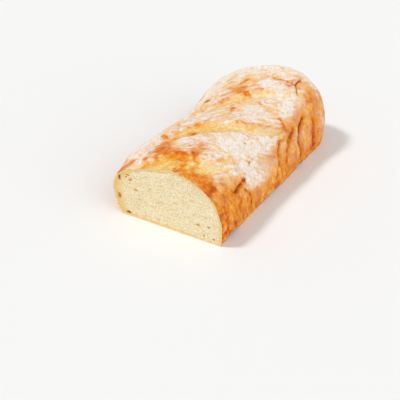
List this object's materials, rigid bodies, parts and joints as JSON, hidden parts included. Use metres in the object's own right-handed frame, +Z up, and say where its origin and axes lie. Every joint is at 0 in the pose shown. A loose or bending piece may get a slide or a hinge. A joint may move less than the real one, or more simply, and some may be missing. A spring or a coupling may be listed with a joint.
{
  "type": "cut bread loaf",
  "caption": "Part-cut long white loaf with a floured, slashed crust, a flat cut face of open crumb and a swollen rounded far end, resting on its flat base.",
  "frame": {"origin": "middle of the loaf's box, on the surface its flat base rests on", "axes": "+X along the loaf from the cut face to the rounded far end, +Y to its fuller side, +Z up"},
  "size_m": [0.292, 0.1561, 0.0898],
  "materials": {
    "crust": "matt baked crust, golden brown, dusted with flour",
    "crumb": "matt cream crumb with fine open pores"
  },
  "bodies": {
    "root": {"loaf": "crust"}
  },
  "joints": []
}
